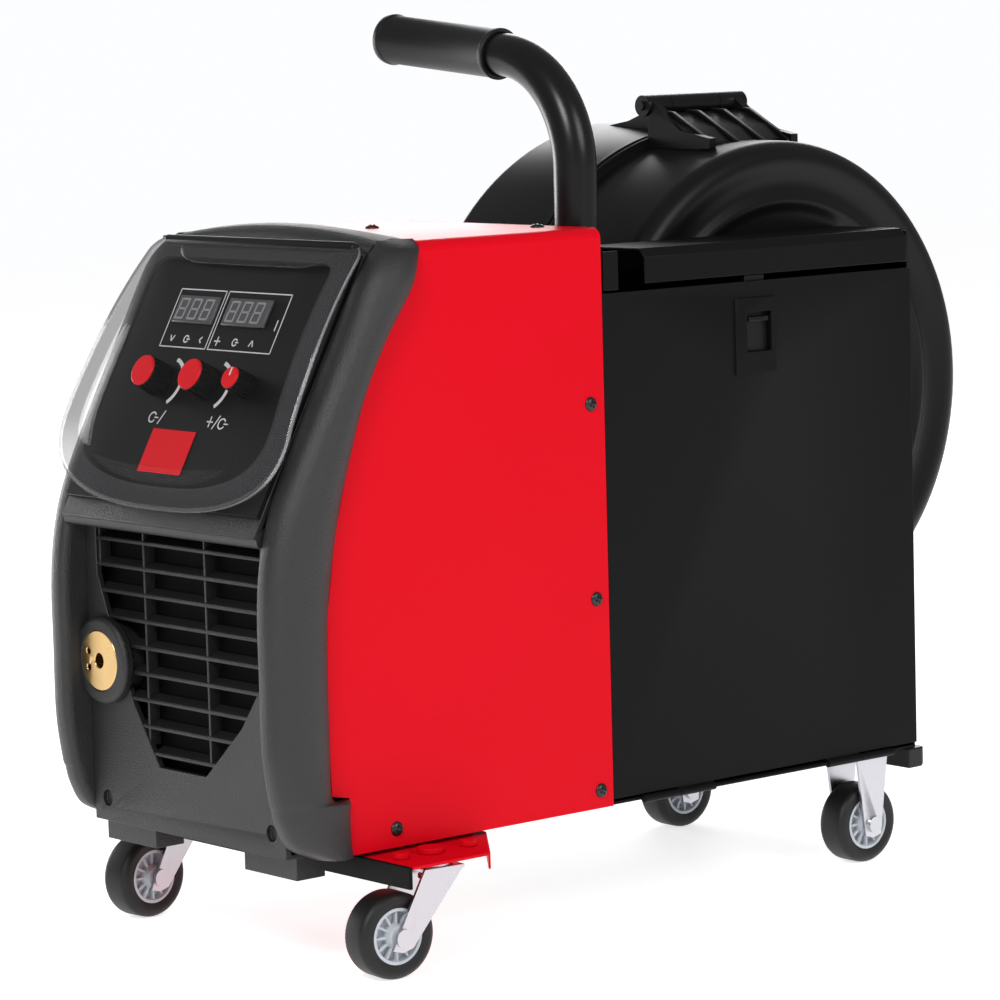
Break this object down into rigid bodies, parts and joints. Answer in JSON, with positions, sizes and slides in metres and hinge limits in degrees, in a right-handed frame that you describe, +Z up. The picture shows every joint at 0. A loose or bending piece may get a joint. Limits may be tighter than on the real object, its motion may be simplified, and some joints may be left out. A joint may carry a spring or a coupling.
{
  "type": "wire feeder",
  "caption": "Portable welding wire feeder with a hinged round wire drum, sloping control panel under a flip window, carrying handle and caster wheels.",
  "frame": {"origin": "on the floor, under the middle of the overall box", "axes": "+Z up, the control panel faces -Y, the service door is on the +X side"},
  "size_m": [0.304, 0.6522, 0.5616],
  "materials": {
    "red_paint": "satin gloss paint",
    "black_paint": "matt fine-textured powder coat",
    "textured_plastic": "fine moulded texture",
    "black_plastic": "satin moulded",
    "grip_rubber": "matt",
    "tube_paint": "semi-gloss",
    "clear_window": "smoked clear, polished",
    "display_glass": "dark tinted",
    "brass": "turned",
    "zinc_steel": "zinc plated",
    "bare_steel": "machined",
    "dark_screws": "black zinc",
    "grey_rim": "satin",
    "tyre": "matt rubber"
  },
  "bodies": {
    "chassis": {"base_pan": "black_paint", "red_cover": "red_paint", "partition": "black_paint", "rear_box": "black_paint", "box_lid": "black_paint", "bezel": "textured_plastic", "front_panel": "textured_plastic", "louvre_grille": "textured_plastic", "control_panel": "textured_plastic", "displays": "display_glass", "window_pin": "zinc_steel", "socket_collar": "textured_plastic", "torch_socket": "brass", "drum_shell": "black_plastic", "drum_hinge": "black_plastic", "spindle": "zinc_steel", "handle_tube": "tube_paint", "hand_grip": "grip_rubber", "caster_bracket": "red_paint", "front_crossbar": "black_paint", "bracket_bolts": "zinc_steel", "right_rear_fork": "zinc_steel", "left_rear_fork": "zinc_steel", "rear_stops": "grip_rubber", "drive_plate": "zinc_steel", "drive_motor": "bare_steel", "wire_guides": "brass", "control_board": "black_paint", "gas_valve": "brass", "rear_sockets": "textured_plastic", "cover_screws": "dark_screws"},
    "side_door": {"side_door": "black_paint"},
    "door_latch": {"door_latch": "zinc_steel"},
    "access_door": {"access_door": "red_paint"},
    "access_latch": {"access_latch": "dark_screws"},
    "drum_cover": {"drum_cover": "black_plastic"},
    "panel_window": {"panel_window": "clear_window"},
    "voltage_knob": {"voltage_knob": "black_plastic"},
    "wire_speed_knob": {"wire_speed_knob": "black_plastic"},
    "trim_knob": {"trim_knob": "black_plastic"},
    "spool": {"spool": "black_plastic", "wire_coil": "bare_steel", "spool_hub": "black_plastic"},
    "right_front_swivel": {"right_front_fork": "zinc_steel"},
    "left_front_swivel": {"left_front_fork": "zinc_steel"},
    "front_feed_roll": {"front_feed_roll": "bare_steel"},
    "rear_feed_roll": {"rear_feed_roll": "bare_steel"},
    "front_pressure_arm": {"front_pressure_arm": "zinc_steel"},
    "rear_pressure_arm": {"rear_pressure_arm": "zinc_steel"},
    "front_pressure_roll": {"front_pressure_roll": "bare_steel"},
    "rear_pressure_roll": {"rear_pressure_roll": "bare_steel"},
    "motor_pinion": {"motor_pinion": "bare_steel"},
    "right_front_wheel": {"right_front_rim": "grey_rim", "right_front_tyre": "tyre"},
    "left_front_wheel": {"left_front_rim": "grey_rim", "left_front_tyre": "tyre"},
    "right_rear_wheel": {"right_rear_rim": "grey_rim", "right_rear_tyre": "tyre"},
    "left_rear_wheel": {"left_rear_rim": "grey_rim", "left_rear_tyre": "tyre"}
  },
  "joints": [
    {"name": "side_door_hinge", "type": "hinge", "parent": "chassis", "child": "side_door", "pos_m": [0.111, 0.07, 0.074], "axis": [0, 1, 0], "range_deg": [0, 90]},
    {"name": "door_latch_slide", "type": "slide", "parent": "side_door", "child": "door_latch", "axis": [0, 0, -1], "range_m": [0, 0.009], "stiffness_N_per_m": 400, "springref_m": -0.003},
    {"name": "access_door_hinge", "type": "hinge", "parent": "chassis", "child": "access_door", "pos_m": [-0.111, -0.082, 0.2], "axis": [0, 0, -1], "range_deg": [0, 110]},
    {"name": "access_latch_turn", "type": "hinge", "parent": "access_door", "child": "access_latch", "pos_m": [-0.11, -0.205, 0.2], "axis": [1, 0, 0], "range_deg": [0, 90]},
    {"name": "drum_cover_hinge", "type": "hinge", "parent": "chassis", "child": "drum_cover", "pos_m": [-0.041, 0.152, 0.497], "axis": [0, 1, 0], "range_deg": [0, 110]},
    {"name": "window_hinge", "type": "hinge", "parent": "chassis", "child": "panel_window", "pos_m": [0, -0.2414, 0.42916], "axis": [-1, 0, 0], "range_deg": [0, 100]},
    {"name": "voltage_knob_turn", "type": "hinge", "parent": "chassis", "child": "voltage_knob", "pos_m": [-0.046, -0.28299, 0.34588], "axis": [0, -0.8746, 0.4848], "range_deg": [-150, 150]},
    {"name": "wire_speed_knob_turn", "type": "hinge", "parent": "chassis", "child": "wire_speed_knob", "pos_m": [0.002, -0.28299, 0.34588], "axis": [0, -0.8746, 0.4848], "range_deg": [-150, 150]},
    {"name": "trim_knob_turn", "type": "hinge", "parent": "chassis", "child": "trim_knob", "pos_m": [0.042, -0.28299, 0.34588], "axis": [0, -0.8746, 0.4848], "range_deg": [-150, 150]},
    {"name": "spool_spin", "type": "hinge", "parent": "chassis", "child": "spool", "pos_m": [-0.059, 0.152, 0.3105], "axis": [1, 0, 0], "continuous": true},
    {"name": "right_front_swivel", "type": "hinge", "parent": "chassis", "child": "right_front_swivel", "pos_m": [0.1267, -0.224, 0.064], "axis": [0, 0, 1], "continuous": true},
    {"name": "right_front_wheel_spin", "type": "hinge", "parent": "right_front_swivel", "child": "right_front_wheel", "pos_m": [0.12375, -0.25466, 0.026], "axis": [0.9954, -0.0958, 0], "continuous": true},
    {"name": "left_front_swivel", "type": "hinge", "parent": "chassis", "child": "left_front_swivel", "pos_m": [-0.1267, -0.224, 0.064], "axis": [0, 0, 1], "continuous": true},
    {"name": "left_front_wheel_spin", "type": "hinge", "parent": "left_front_swivel", "child": "left_front_wheel", "pos_m": [-0.12375, -0.25466, 0.026], "axis": [0.9954, 0.0958, 0], "continuous": true},
    {"name": "right_rear_wheel_spin", "type": "hinge", "parent": "chassis", "child": "right_rear_wheel", "pos_m": [0.088, 0.169, 0.026], "axis": [1, 0, 0], "continuous": true},
    {"name": "left_rear_wheel_spin", "type": "hinge", "parent": "chassis", "child": "left_rear_wheel", "pos_m": [-0.088, 0.169, 0.026], "axis": [1, 0, 0], "continuous": true},
    {"name": "front_roll_spin", "type": "hinge", "parent": "chassis", "child": "front_feed_roll", "pos_m": [-0.077, -0.199, 0.158], "axis": [1, 0, 0], "continuous": true},
    {"name": "rear_roll_spin", "type": "hinge", "parent": "chassis", "child": "rear_feed_roll", "pos_m": [-0.077, -0.151, 0.158], "axis": [1, 0, 0], "continuous": true},
    {"name": "pinion_spin", "type": "hinge", "parent": "chassis", "child": "motor_pinion", "pos_m": [-0.066, -0.175, 0.14], "axis": [1, 0, 0], "continuous": true},
    {"name": "front_arm_lift", "type": "hinge", "parent": "chassis", "child": "front_pressure_arm", "pos_m": [-0.089, -0.229, 0.202], "axis": [1, 0, 0], "range_deg": [0, 40]},
    {"name": "rear_arm_lift", "type": "hinge", "parent": "chassis", "child": "rear_pressure_arm", "pos_m": [-0.089, -0.121, 0.202], "axis": [-1, 0, 0], "range_deg": [0, 40]},
    {"name": "front_pressure_roll_spin", "type": "hinge", "parent": "front_pressure_arm", "child": "front_pressure_roll", "pos_m": [-0.077, -0.199, 0.192], "axis": [1, 0, 0], "continuous": true},
    {"name": "rear_pressure_roll_spin", "type": "hinge", "parent": "rear_pressure_arm", "child": "rear_pressure_roll", "pos_m": [-0.077, -0.151, 0.192], "axis": [1, 0, 0], "continuous": true}
  ],
  "couplings": [
    {"joint": "rear_roll_spin", "follows": "front_roll_spin", "ratio": 1},
    {"joint": "pinion_spin", "follows": "front_roll_spin", "ratio": -1.3077},
    {"joint": "front_pressure_roll_spin", "follows": "front_roll_spin", "ratio": -1},
    {"joint": "rear_pressure_roll_spin", "follows": "front_roll_spin", "ratio": -1}
  ]
}
